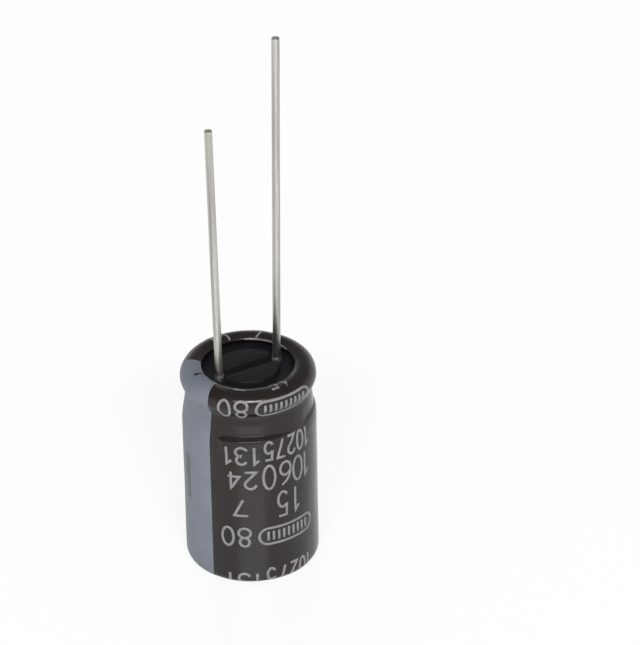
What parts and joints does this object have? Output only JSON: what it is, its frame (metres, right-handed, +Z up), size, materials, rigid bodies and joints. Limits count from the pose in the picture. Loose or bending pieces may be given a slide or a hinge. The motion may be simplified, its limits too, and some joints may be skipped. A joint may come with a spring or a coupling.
{
  "type": "electrolytic capacitor",
  "caption": "Radial electrolytic capacitor: beaded aluminium can in a dark shrink sleeve with a grey polarity stripe, rubber bung, wound element and two tinned wires of unequal length.",
  "frame": {"origin": "middle of the closed end, in the plane it stands on", "axes": "+Z up along the can's axis to the wires, +X from the short wire to the long one"},
  "size_m": [0.0104, 0.0104, 0.0438],
  "materials": {
    "sleeve": "glossy shrink film, dark brown-black",
    "stripe": "satin grey-blue ink",
    "can": "drawn, satin",
    "rubber": "moulded, matt",
    "wire": "tinned, bright drawn",
    "tab": "satin",
    "paper": "soaked, matt",
    "tape": "satin"
  },
  "bodies": {
    "root": {"sleeve": "sleeve", "polarity_stripe": "stripe", "can": "can", "bung": "rubber", "anode_wire": "wire", "cathode_wire": "wire", "anode_tab": "tab", "cathode_tab": "tab", "wound_element": "paper", "closing_tape": "tape"}
  },
  "joints": []
}
